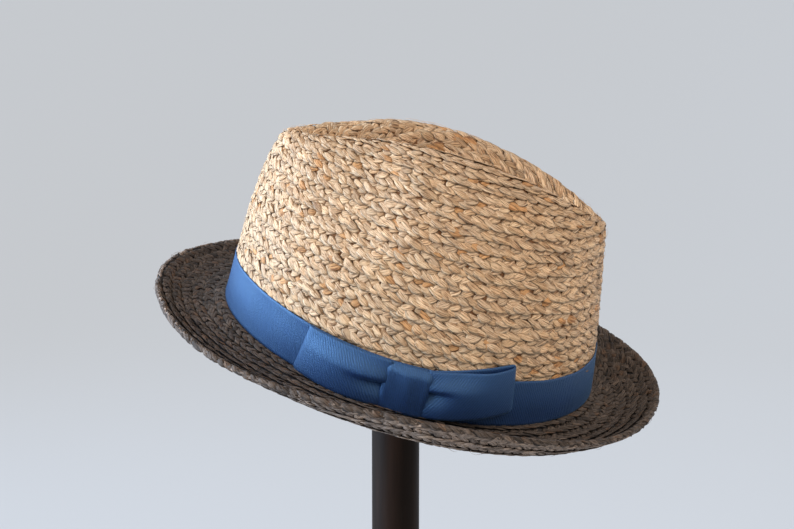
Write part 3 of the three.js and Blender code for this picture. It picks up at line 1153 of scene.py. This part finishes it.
@dataclass
class Crown(StrawWork):
    """The crown: rows of natural raffia braid, outside and inside, over a darker sunk sheet whose colour is
    painted shade of the gaps.
    """

    rows: float = 22.6
    first_row: float = 21.5
    inner_rows: float = 23
    front_squeeze: float = 0.3
    split: float = 0.5
    shade_sheet_depth: float = 0.45
    crease_pitch: float = 5.2
    crease_proud: float = 0.2
    shell_columns: int = 240
    shell_rows: int = 90
    fibres: Hairs = Hairs(300)
    fibre_span: tuple[float, float] = (0.22, 0.85)
    fibre_tint: tuple[float, float, float] = (1.1, 1.06, 1)
    seed: int = 7
    tints: TintRange = TintRange(
        ((1.1, 1.09, 1.06), (1, 1, 1), (0.94, 0.88, 0.8), (0.88, 0.66, 0.44), (0.78, 0.72, 0.66)),
        (0.3, 0.41, 0.22, 0.035, 0.035), 0.08)

    def build(self, straw: bpy.types.Material, shade_sheet: bpy.types.Material) -> None:
        """Makes the shell, the strands on both faces and the loose fibres.

        Args:
            straw: Finish of the strands.
            shade_sheet: Finish of the shell between them.
        """
        dice = np.random.default_rng(self.seed)
        outside = Cloth.from_sections(lambda t, k: self.form.crown(t, 2 * k))
        self._shell(outside, shade_sheet)
        braid = Braid(tints=self.tints, front_squeeze=self.front_squeeze)
        for name, span in (("crown_braid_lower", (0, self.split)), ("crown_braid_upper", (self.split, 1))):
            strands = braid.strands(outside, self._first, outside.length, self.rows, dice, span)
            self._finish(name, strands, straw)
        inside = Cloth.from_sections(lambda t, k: self._inner(outside, t, k))
        lining = Braid(leaves=INNER_LEAVES, shingle=0.6, tints=self.tints)
        strands = lining.strands(inside, np.zeros_like, inside.length, self.inner_rows, dice)
        self._finish("crown_braid_inside", strands, straw)
        loose = self.fibres.make(outside, *self.fibre_span, dice, self.fibre_tint)
        self._finish("crown_fibres", loose, straw)
        self._finish("crown_braid_crease", self._crease_row(dice), straw)

    def _first(self, t: Array) -> Array:
        """Where the braid's first visible row begins, behind the top edge of the hatband."""
        return np.full_like(t, self.first_row)

    def _inner(self, outside: Cloth, t: Array, k: Array) -> Array:
        """Inside face of the crown, walked the other way round so that it faces the head."""
        mirrored = math.pi - t
        return outside.look_up(mirrored, k * outside.length(mirrored), np.full_like(t, -self.form.straw))

    def _shell(self, outside: Cloth, shade_sheet: bpy.types.Material) -> None:
        """Makes the sheet of painted gap shade as a closed wall between the two faces of braid.

        Args:
            outside: Outside of the crown.
            shade_sheet: Finish of the shell.
        """
        columns, rows = self.shell_columns, self.shell_rows
        around = np.linspace(0, TURN, columns, endpoint=False)
        angle, k = np.meshgrid(around, np.linspace(0, 1, rows), indexing="xy")
        distance = k * outside.length(angle)
        front = outside.look_up(angle, distance, np.full_like(angle, -self.shade_sheet_depth))
        back = outside.look_up(angle, distance, np.full_like(angle, self.shade_sheet_depth - self.form.straw))
        points = np.concatenate([front.reshape(-1, 3), back.reshape(-1, 3)])
        faces = sheet_faces(rows, columns, True)[:3] + self._crease_faces(rows, columns)
        self._finish("crown_shell", MeshParts(points, faces), shade_sheet)

    def _crease_faces(self, rows: int, columns: int) -> list[Array]:
        """Faces that close the bottom of the crease, across its long axis, on both sides of the shell.

        Args:
            rows: Rows of each face of the shell.
            columns: Columns of each, which start at the wearer's left.

        Returns:
            Faces with four corners, and with three at both ends of the crease.
        """
        quarter = columns // 4
        right = np.arange(-quarter, quarter + 1) % columns
        left = (columns // 2 - right) % columns
        last = (rows - 1) * columns
        quads = last + np.stack([right[1:-2], right[2:-1], left[2:-1], left[1:-2]], -1)
        ends = last + np.array([[right[0], right[1], left[1]], [right[-2], right[-1], left[-2]]])
        behind = rows * columns
        return [quads, ends, quads[:, ::-1] + behind, ends[:, ::-1] + behind]

    def _crease_row(self, dice: np.random.Generator) -> MeshParts:
        """Lays the short straight row of braid along the bottom of the crease.

        Args:
            dice: Source of chance.

        Returns:
            Closed strands in the hat's frame.
        """
        numbers = np.arange(-1, int(2 * self.form.crease_half_length / self.crease_pitch) + 1)
        front = self.form.crease_centre_y - self.form.crease_half_length
        level = self.form.crease_height + self.crease_proud
        made = []
        for leaf in (UPPER_LEAF, LOWER_LEAF):
            along, across, height, uv = leaf.lay(numbers, self.crease_pitch, self.crease_pitch, dice)
            points = np.stack([-across, front + along, level + height], -1)
            tint = np.repeat(self.tints.draw(dice, len(numbers)), leaf.points_each(), axis=0)
            faces = tube_faces(len(numbers), leaf.sections, len(leaf.ring))
            made.append(MeshParts(points.reshape(-1, 3), faces, uv.reshape(-1, 2), tint))
        return merged(made)

    def _dress(self, piece: bpy.types.Object) -> None:
        """Hides the crown's solid, which the piece replaces."""
        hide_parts("crown")


@dataclass
class Brim(StrawWork):
    """The brim: rows of taupe braid on both faces, and one row that wraps the rim."""

    rows: float = 6.5
    row_pitch: float = 5.2
    rim_radius: float = 1.1
    rim_share: float = 0.03
    margin: float = 2.2
    shade_sheet_depth: float = 0.5
    shell_columns: int = 240
    shell_rows: int = 60
    fibres: Hairs = Hairs(240, length=6)
    fibre_span: tuple[float, float] = (0.1, 0.9)
    fibre_tint: tuple[float, float, float] = (1.5, 1.42, 1.36)
    seed: int = 11
    # One taupe straw, lit and shaded: the upper face's tints are darkened as painted shade, and those of the
    # underside and the rim are lightened as painted light.
    shaded_top_tints: TintRange = TintRange(
        ((0.58, 0.57, 0.56), (0.44, 0.42, 0.4), (0.72, 0.7, 0.68), (0.68, 0.55, 0.44)),
        (0.45, 0.25, 0.2, 0.1), 0.15)
    lit_under_tints: TintRange = TintRange(
        ((1.45, 1.52, 1.62), (1.78, 1.84, 1.94), (0.95, 0.98, 1.04), (2, 2, 2)),
        (0.42, 0.28, 0.2, 0.1), 0.16)

    def _section(self, t: Array, k: Array) -> Array:
        """Cross-section from the crown over the upper face, round the rim and back underneath.

        Args:
            t: Angle around the hat.
            k: Share of the way, half of it at the middle of the rim.

        Returns:
            The points.
        """
        flat = 0.5 - self.rim_share
        inner = -self.form.straw
        reach = self.form.brim_reach(t) - self.rim_radius - inner
        distance = inner + reach * np.clip(np.where(k < 0.5, k, 1 - k) / flat, 0, 1)
        step = 0.4
        here = self.form.brim(t, distance)
        along = unit(self.form.brim(t, distance + step) - self.form.brim(t, distance - step))
        level = self.form.outward(t)
        sideways = np.stack([-level[..., 1], level[..., 0], np.zeros_like(t)], -1)
        down = unit(np.cross(along, sideways))
        down = np.where((down[..., 2] > 0)[..., None], -down, down)
        turn = np.clip((k - flat) / (2 * self.rim_share), 0, 1) * math.pi
        middle = shift(here, down, np.full_like(t, self.rim_radius))
        lowered = shift(middle, down, -self.rim_radius * np.cos(turn))
        return shift(lowered, along, self.rim_radius * np.sin(turn))

    def build(self, straw: bpy.types.Material, shade_sheet: bpy.types.Material) -> None:
        """Makes the shell, the strands and the loose fibres.

        Args:
            straw: Finish of the strands.
            shade_sheet: Finish of the shell between them.
        """
        dice = np.random.default_rng(self.seed)
        cloth = Cloth.from_sections(self._section, facing=-1)
        self._shell(cloth, shade_sheet)

        def seam(t: Array) -> Array:
            """Distance of the seam with the crown, on the upper face."""
            return np.full_like(t, self.margin)

        def rim(t: Array) -> Array:
            """Distance of the middle of the rim."""
            return cloth.length(t) / 2

        def top_end(t: Array) -> Array:
            """Distance of the outermost row of the upper face."""
            return rim(t) - self.margin

        def under_end(t: Array) -> Array:
            """Distance of the outermost row of the underside."""
            return rim(t) + self.margin

        def under_seam(t: Array) -> Array:
            """Distance of the seam with the crown, on the underside."""
            return cloth.length(t) - self.margin

        top = Braid(self.shaded_top_tints, row_pitch=self.row_pitch, strand_pitch=5, shingle=1.35,
                    leaves=BRIM_LEAVES)
        under = Braid(self.lit_under_tints, row_pitch=self.row_pitch, strand_pitch=4.6, leaves=BRIM_LEAVES)
        edge = Braid(self.lit_under_tints, row_pitch=4.4, strand_pitch=4.2, shingle=0, leaves=BRIM_LEAVES[:2])
        upper = top.strands(cloth, top_end, seam, self.rows, dice)
        self._finish("brim_braid_top", upper, straw)
        lower = under.strands(cloth, under_end, under_seam, self.rows, dice)
        self._finish("brim_braid_underside", lower, straw)
        self._finish("brim_braid_rim", edge.strands(cloth, rim, rim, 1, dice, stretched=False), straw)
        loose = self.fibres.make(cloth, *self.fibre_span, dice, self.fibre_tint)
        self._finish("brim_fibres", loose, straw)

    def _shell(self, cloth: Cloth, shade_sheet: bpy.types.Material) -> None:
        """Makes the sheet of painted gap shade as a closed ring, sunk under both faces.

        Args:
            cloth: Both faces of the brim, round the rim.
            shade_sheet: Finish of the shell.
        """
        columns, rows = self.shell_columns, self.shell_rows
        around = np.linspace(0, TURN, columns, endpoint=False)
        angle, k = np.meshgrid(around, np.linspace(0, 1, rows), indexing="xy")
        points = cloth.look_up(angle, k * cloth.length(angle), np.full_like(angle, -self.shade_sheet_depth))
        r, c = np.meshgrid(np.arange(rows), np.arange(columns), indexing="ij")
        r, c = r.ravel(), c.ravel()
        up, beside = (r + 1) % rows, (c + 1) % columns
        faces = np.stack([r * columns + c, up * columns + c, up * columns + beside, r * columns + beside], -1)
        self._finish("brim_shell", MeshParts(points.reshape(-1, 3), [faces]), shade_sheet)

    def _dress(self, piece: bpy.types.Object) -> None:
        """Hides the brim's solid, which the piece replaces."""
        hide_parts("brim")


@dataclass
class RibbonWork:
    """Shared ways of the hatband and the bow: a ribbon that lies beside the crown's wall."""

    form: HatForm
    ribbon: float = 0.8
    width: float = 24
    hem: float = 0.03
    hem_thickness: float = 0.35
    rows: int = 25

    def strip(self, name: str, node: str, place: Callable[[Array, Array], Array], columns: int,
              wrapped: bool, length: float, material: bpy.types.Material) -> None:
        """Makes a closed ribbon from its middle surface.

        Args:
            name: Name of the piece.
            node: The solid it stands for.
            place: Gives points for shares along and across the ribbon.
            columns: Steps along the ribbon.
            wrapped: True where the ribbon closes on itself.
            length: Length in millimetres, for the weave.
            material: Its finish.
        """
        along = np.linspace(0, 1, columns, endpoint=not wrapped)
        across = np.linspace(0, 1, self.rows)
        k, v = np.meshgrid(along, across, indexing="xy")
        step = 1e-3
        middle = place(k, v)
        upwards = place(k, v + step) - place(k, v - step)
        normal = unit(np.cross(place(k + step, v) - place(k - step, v), upwards))
        thin = self.ribbon / 2 * np.clip(np.minimum(v, 1 - v) / self.hem, self.hem_thickness, 1)
        front, back = shift(middle, normal, thin), shift(middle, normal, -thin)
        points = self.form.place(np.concatenate([front.reshape(-1, 3), back.reshape(-1, 3)]))
        uv = np.stack([k * length, v * self.width], -1).reshape(-1, 2)
        parts = MeshParts(points, sheet_faces(self.rows, columns, wrapped), np.concatenate([uv, uv]))
        piece = make_object(name, parts, material)
        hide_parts(node)


@dataclass
class Hatband(RibbonWork):
    """Ring of ribbon around the foot of the crown."""

    columns: int = 480
    length: float = 560
    slack: float = 0.14
    ripple: float = 0.1
    edge_wander: float = 0.35
    edge_curl: float = 0.3

    def build(self, material: bpy.types.Material) -> None:
        """Makes the band with slight waves where it isn't pulled tight.

        Args:
            material: Its finish.
        """
        def place(k: Array, v: Array) -> Array:
            """Middle surface of the band.

            Args:
                k: Share of the way round.
                v: Share of the width.

            Returns:
                The points.
            """
            t = k * TURN - math.pi / 2
            wave = self.slack * np.sin(9 * t + 1.3) * np.sin(math.pi * v) + self.ripple * np.sin(23 * t) * v
            edge = self.edge_wander * np.sin(5 * t + 0.4) * v
            curl = self.edge_curl * np.abs(2 * v - 1) ** 6
            distance = self.form.clearance + self.ribbon / 2 + wave + curl
            return self.form.beside_wall(t, v * self.width + edge, distance)

        self.strip("hatband_ribbon", "hatband", place, self.columns, True, self.length, material)


class LoopSide(Enum):
    """Which way a loop of the bow points; the value is its direction along the band."""

    FRONT = -1
    BACK = 1


@dataclass(frozen=True)
class LoopShape:
    """One loop of the bow: two legs, the fold that joins them, and a pleat beside the knot."""

    side: LoopSide
    rise_deg: float
    lean_deg: float
    open_top: float
    pleat_place: float
    pleat_reach: float
    reach: float = 42
    leg_share: float = 0.46
    fold_radius: float = 1.7
    hidden: float = 2.5
    curve_stretch: float = 1.06
    lift: float = 0.5
    least_gap: float = 1.1
    swell: float = 4.3
    swell_skew: float = 0.8
    swell_roundness: float = 0.7
    closing: float = 0.8
    closing_from: float = 0.55
    opens_between: tuple[float, float] = (0.3, 0.8)
    widest_opening: float = 1.6
    pleat_start: float = 3
    pleat_depth: float = 3
    pleat_edge: float = 0.1
    pleat_width: float = 0.2
    crest: float = 0.5
    crest_place: float = 0.06
    crest_width: float = 0.12


@dataclass(frozen=True)
class KnotShape:
    """The sleeve of ribbon across the middle of the bow."""

    width: float = 21.5
    rise: float = 4.2
    length: float = 34
    side_turn: float = 1.16
    shoulder_place: float = 0.86
    shoulder_reach: float = 0.14
    shoulder_press: float = 0.5
    shoulder_width: float = 0.08
    rounding: float = 0.24
    top_press: float = 0.6
    top_press_from: float = 0.82
    sink: float = 0.3
    crease: float = 0.22
    creases: float = 7
    crease_slant: float = 2
    lean: float = 0.5
    edge_height: float = 0.7
    waist: float = 0.03


FRONT_LOOP = LoopShape(
    side=LoopSide.FRONT, rise_deg=0, lean_deg=7, open_top=0, pleat_place=0.56, pleat_reach=10)
BACK_LOOP = LoopShape(
    side=LoopSide.BACK, rise_deg=12.5, lean_deg=11, open_top=1.6, pleat_place=0.62, pleat_reach=7)


@dataclass
class Bow(RibbonWork):
    """Flat bow: two loops and the ribbon wrapped across them."""

    middle_y: float = -14.2
    knot: KnotShape = KnotShape()
    loop_columns: int = 90
    knot_columns: int = 60

    def _beside(self, along: Array, height: Array, out: Array) -> Array:
        """A point of the bow.

        Args:
            along: Distance from the middle of the bow, along the band.
            height: Height above the foot of the crown.
            out: Distance from the band's face.

        Returns:
            The points.
        """
        start = math.asin(self.middle_y / self.form.base_front)
        radius = (self.form.base_front + self.form.base_back) / 2
        face = self.form.clearance + self.ribbon
        return self.form.beside_wall(start + along / radius, height, face + out)

    def build(self, material: bpy.types.Material) -> None:
        """Makes the two loops and the knot.

        Args:
            material: Their finish.
        """
        self._loop("bow_front_loop_ribbon", "bow_front_loop", FRONT_LOOP, material)
        self._loop("bow_back_loop_ribbon", "bow_back_loop", BACK_LOOP, material)
        self._knot(material)

    def _loop(self, name: str, node: str, loop: LoopShape, material: bpy.types.Material) -> None:
        """Makes a loop: out along the band, round the fold and back in front.

        Args:
            name: Name of the piece.
            node: The solid it stands for.
            loop: Its shape.
            material: Its finish.
        """
        rise, lean = math.tan(math.radians(loop.rise_deg)), math.tan(math.radians(loop.lean_deg))
        start = self.knot.width / 2 + self.form.clearance - loop.hidden

        def place(k: Array, v: Array) -> Array:
            """Middle surface of the loop.

            Args:
                k: Share of the way along the ribbon.
                v: Share of the width.

            Returns:
                The points.
            """
            going = np.clip(k / loop.leg_share, 0, 1)
            coming = np.clip((1 - k) / loop.leg_share, 0, 1)
            bend = np.clip((k - loop.leg_share) / (1 - 2 * loop.leg_share), 0, 1) * math.pi
            straight = np.where(k < 0.5, going, coming) * (loop.reach - loop.fold_radius)
            x = straight + loop.fold_radius * np.sin(bend)
            share = x / loop.reach
            hump = np.sin(math.pi * np.clip(share, 0, 1) ** loop.swell_skew) ** loop.swell_roundness
            opened = smooth_step(share, *loop.opens_between) * loop.open_top / loop.widest_opening
            closed = 1 - loop.closing * smooth_step(v, loop.closing_from, 1) * (1 - opened)
            gap = loop.least_gap + loop.swell * hump * closed
            out = loop.lift + gap * (1 - np.cos(bend)) / 2
            front = (1 - np.cos(bend)) / 2
            below = loop.pleat_place - v
            fade = np.exp(-(np.maximum(x - loop.pleat_start, 0) / loop.pleat_reach) ** 2)
            tail = np.exp(-(np.maximum(below - loop.pleat_edge, 0) / loop.pleat_width) ** 2)
            drop = smooth_step(below, 0, loop.pleat_edge) * tail
            crest = loop.crest * np.exp(-((below + loop.crest_place) / loop.crest_width) ** 2)
            out = out + front * fade * (crest - loop.pleat_depth * drop)
            sag = front * loop.open_top * 0.5 * share * v
            height = self.form.clearance + v * (self.width - self.form.clearance) - sag
            leaned = x * (1 - lean * (height - self.width / 2) / loop.reach)
            along = loop.side.value * (start + leaned * loop.curve_stretch)
            return self._beside(along, height + rise * x, out)

        self.strip(name, node, place, self.loop_columns, False, 2 * loop.reach, material)

    def _knot(self, material: bpy.types.Material) -> None:
        """Makes the knot as a sleeve with rounded shoulders and soft creases.

        Args:
            material: Its finish.
        """
        knot = self.knot
        half = knot.width / 2

        def place(k: Array, v: Array) -> Array:
            """Middle surface of the knot.

            Args:
                k: Share of the way over the knot.
                v: Share of the width.

            Returns:
                The points.
            """
            angle = (k - 0.5) * 2
            x = half * np.sign(angle) * np.minimum(np.abs(angle) * knot.side_turn, 1)
            drop = np.clip((np.abs(angle) - knot.shoulder_place) / knot.shoulder_reach, 0, 1)
            pressed = 1 - knot.top_press * smooth_step(v, knot.top_press_from, 1)
            crown = knot.rise * (1 - knot.rounding * angle**2) * pressed - knot.sink
            crease = knot.crease * np.sin(angle * knot.creases + knot.crease_slant * v) * np.sin(math.pi * v)
            out = (crown + crease + knot.lean * angle) * (1 - drop) + knot.edge_height * drop
            beside = (np.abs(angle) - knot.shoulder_place) / knot.shoulder_width
            shoulder = knot.shoulder_press * np.exp(-beside ** 2)
            waist = 1 - knot.waist * np.sin(math.pi * v)
            height = self.form.clearance + v * (self.width - self.form.clearance)
            return self._beside(x * waist, height, out - shoulder)

        self.strip("bow_knot_ribbon", "bow_knot", place, self.knot_columns, False, knot.length, material)


def turned_grid(profile: list[tuple[float, float]], segments: int) -> tuple[Array, Array]:
    """Turns a profile about the upright axis.

    Args:
        profile: Radius and height pairs.
        segments: Steps all the way round.

    Returns:
        The points, row by row, and the faces between the rows, which look outwards where it rises.
    """
    angle = np.linspace(0, TURN, segments, endpoint=False)
    radius = np.array([p[0] for p in profile])[:, None]
    height = np.array([p[1] for p in profile])[:, None] + 0 * angle[None, :]
    points = np.stack([radius * np.cos(angle), radius * np.sin(angle), height], -1).reshape(-1, 3)
    r, c = np.meshgrid(np.arange(len(profile) - 1), np.arange(segments), indexing="ij")
    r, c = r.ravel(), c.ravel()
    nxt = (c + 1) % segments
    faces = np.stack([r * segments + c, r * segments + nxt,
                      (r + 1) * segments + nxt, (r + 1) * segments + c], -1)
    return points, faces


@dataclass
class Stand:
    """Plain turned stand: a round foot, a pole and a low dome inside the crown."""

    segments: int = 96
    edge: float = 1.6
    edge_steps: int = 6
    dome_rim: float = 2
    dome_edge: float = 0.6
    dome_steps: int = 14
    dome_reach: float = 0.97

    def build(self, material: bpy.types.Material) -> None:
        """Turns each part of the stand to the size of its solid.

        Args:
            material: Its finish.
        """
        for name, node, shape in (
            ("stand_foot_wood", "stand_base", self._round),
            ("stand_pole_wood", "stand_pole", self._round),
            ("stand_dome_wood", "stand_cap", self._dome),
        ):
            low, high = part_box(node)
            profile = shape((high.x - low.x) / 2, low.z, high.z)
            piece = make_object(name, self._turned(profile), material)
            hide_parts(node)

    def _round(self, radius: float, low: float, high: float) -> list[tuple[float, float]]:
        """Profile of a cylinder with rounded edges.

        Args:
            radius: Radius in metres.
            low: Height of its underside.
            high: Height of its top.

        Returns:
            Radius and height pairs from the bottom to the top.
        """
        soft = self.edge * MM
        quarter = np.linspace(0, math.pi / 2, self.edge_steps)
        rising = [(radius - soft + soft * math.sin(a), low + soft - soft * math.cos(a)) for a in quarter]
        closing = [(radius - soft + soft * math.cos(a), high - soft + soft * math.sin(a)) for a in quarter]
        straight = [(radius, low + (high - low) * k) for k in (0.25, 0.5, 0.75)]
        return [*rising, *straight, *closing]

    def _dome(self, radius: float, low: float, high: float) -> list[tuple[float, float]]:
        """Profile of the dome, with a short upright rim.

        Args:
            radius: Radius in metres.
            low: Height of its underside.
            high: Height of its top.

        Returns:
            Radius and height pairs from the bottom to the top.
        """
        rim = self.dome_rim * MM
        soft = self.dome_edge * MM
        quarter = np.linspace(0, math.pi / 2 * self.dome_reach, self.dome_steps)
        dome = [(radius * math.cos(a), low + rim + (high - low - rim) * math.sin(a)) for a in quarter]
        return [(radius - soft, low), (radius, low + soft), *dome]

    def _turned(self, profile: list[tuple[float, float]]) -> MeshParts:
        """Turns a profile about the pole's axis and closes its ends.

        Args:
            profile: Radius and height pairs from the bottom to the top.

        Returns:
            The closed mesh.
        """
        points, side = turned_grid(profile, self.segments)
        bottom = np.arange(self.segments)[::-1][None, :]
        top = ((len(profile) - 1) * self.segments + np.arange(self.segments))[None, :]
        return MeshParts(points, [side, bottom, top])


def aimed_object(name: str, data: bpy.types.ID, target: Vector, azimuth_deg: float, elevation_deg: float,
                 distance: float) -> bpy.types.Object:
    """Adds a camera or a light that looks at a point.

    Args:
        name: Name of the object.
        data: The camera or the light.
        target: The point that it looks at.
        azimuth_deg: Where it stands, 0 in front of -Y and 90 in front of +X.
        elevation_deg: How high it stands.
        distance: Its distance from the point.

    Returns:
        The new object.
    """
    a, e = math.radians(azimuth_deg), math.radians(elevation_deg)
    away = Vector((math.sin(a) * math.cos(e), -math.cos(a) * math.cos(e), math.sin(e)))
    made = bpy.data.objects.new(name, data)
    made.location = target + away * distance
    made.rotation_mode = "QUATERNION"
    made.rotation_quaternion = away.to_track_quat("Z", "Y")
    bpy.context.scene.collection.objects.link(made)
    return made


@dataclass(frozen=True)
class Softbox:
    """A soft area light that is aimed at the hat."""

    name: str
    azimuth_deg: float
    elevation_deg: float
    distance: float
    size: float
    power: float
    colour: tuple[float, float, float]
    spread_deg: float

    def hang(self, target: Vector) -> None:
        """Places the light.

        Args:
            target: The point that it is aimed at.
        """
        light = bpy.data.lights.new(self.name, "AREA")
        light.size = self.size
        light.energy = self.power
        light.color = self.colour
        light.spread = math.radians(self.spread_deg)
        made = aimed_object(self.name, light, target, self.azimuth_deg, self.elevation_deg, self.distance)
        made.visible_camera = False


@dataclass
class Studio:
    """Camera, light and a round pale room that is the same from every side."""

    target: tuple[float, float, float] = (0, 0.00075, 0.299)
    azimuth_deg: float = 90
    elevation_deg: float = 7
    distance: float = 0.727
    lens: float = 63.48
    sensor_width: float = 36
    room_radius: float = 2.6
    cove_radius: float = 1.1
    cove_steps: int = 12
    wall_height: float = 2.6
    hub_radius: float = 0.02
    inner_floor: float = 0.6
    room_segments: int = 128
    air: tuple[float, float, float] = linear(203, 206, 211)
    air_strength: float = 0.5
    lights: tuple[Softbox, ...] = (
        Softbox(name="window", azimuth_deg=6, elevation_deg=14, distance=1.5, size=1.7, power=31,
                colour=(0.53, 0.72, 1), spread_deg=90),
        Softbox(name="fill", azimuth_deg=116, elevation_deg=48, distance=2.1, size=1.8, power=10.2,
                colour=(1, 0.91, 0.83), spread_deg=120),
    )

    def build(self, paper: bpy.types.Material) -> None:
        """Sets the camera, the room and the lights.

        Args:
            paper: Finish of the room.
        """
        self._camera()
        self._room(paper)
        for box in self.lights:
            box.hang(Vector(self.target))
        world = bpy.data.worlds.new("studio")
        world.use_nodes = True
        background = world.node_tree.nodes["Background"]
        background.inputs["Color"].default_value = (*self.air, 1)
        background.inputs["Strength"].default_value = self.air_strength
        bpy.context.scene.view_settings.view_transform = "Standard"
        bpy.context.scene.world = world

    def _camera(self) -> None:
        """Places the camera at the photograph's angle."""
        data = bpy.data.cameras.new("camera")
        data.lens = self.lens
        data.sensor_width = self.sensor_width
        bpy.context.scene.camera = aimed_object(
            "camera", data, Vector(self.target), self.azimuth_deg, self.elevation_deg, self.distance)

    def _room(self, paper: bpy.types.Material) -> None:
        """Makes the floor, a round cove and the wall in one turned sheet.

        Args:
            paper: Its finish.
        """
        start = self.room_radius - self.cove_radius
        profile = [(self.hub_radius, 0.0), (self.inner_floor, 0.0), (start, 0.0)]
        for a in np.linspace(0, math.pi / 2, self.cove_steps)[1:]:
            profile.append((start + self.cove_radius * math.sin(a), self.cove_radius * (1 - math.cos(a))))
        profile.append((self.room_radius, self.wall_height))
        points, faces = turned_grid(profile, self.room_segments)
        middle = np.arange(self.room_segments)[None, :]
        mesh = bpy.data.meshes.new("room")
        mesh.from_pydata(points.tolist(), [], [*faces[:, ::-1].tolist(), *middle.tolist()])
        mesh.polygons.foreach_set("use_smooth", np.full(len(mesh.polygons), True))
        mesh.materials.append(paper)
        room = bpy.data.objects.new("room", mesh)
        bpy.context.scene.collection.objects.link(room)


def main() -> None:
    """Builds the studio and the hat, piece by piece."""
    logging.basicConfig(level=logging.INFO, format="%(name)s: %(message)s")
    form = HatForm()
    Studio().build(PaperFinish("studio_paper", linear(201, 204, 208), returned=0.3, glow=0.8).make())
    natural = RaffiaFinish("natural_raffia", pale=linear(240, 203, 160), deep=linear(190, 140, 98),
                           roughness=0.52, gloss=0.35).make()
    taupe = RaffiaFinish("taupe_raffia", pale=linear(134, 114, 98), deep=linear(82, 67, 55),
                         roughness=0.6, gloss=0.25).make()
    # The sheets sunk under the braid are painted shade of the gaps between strands; the crown's warm tan also
    # paints the light bounced between the strands.
    Crown(form).build(natural, GapShadeFinish("crown_gap_shade", linear(150, 98, 56)).make())
    Brim(form).build(taupe, GapShadeFinish("brim_gap_shade", linear(58, 50, 46)).make())
    blue = RibbonFinish("blue_ribbon", lit=linear(16, 42, 96), base=linear(3, 11, 36),
                        gloss=(0.38, 0.71, 1), sheen=(0.28, 0.62, 1)).make()
    Hatband(form).build(blue)
    Bow(form).build(blue)
    Stand().build(StainedWoodFinish("dark_stained_wood").make())


if __name__ == "__main__":
    main()
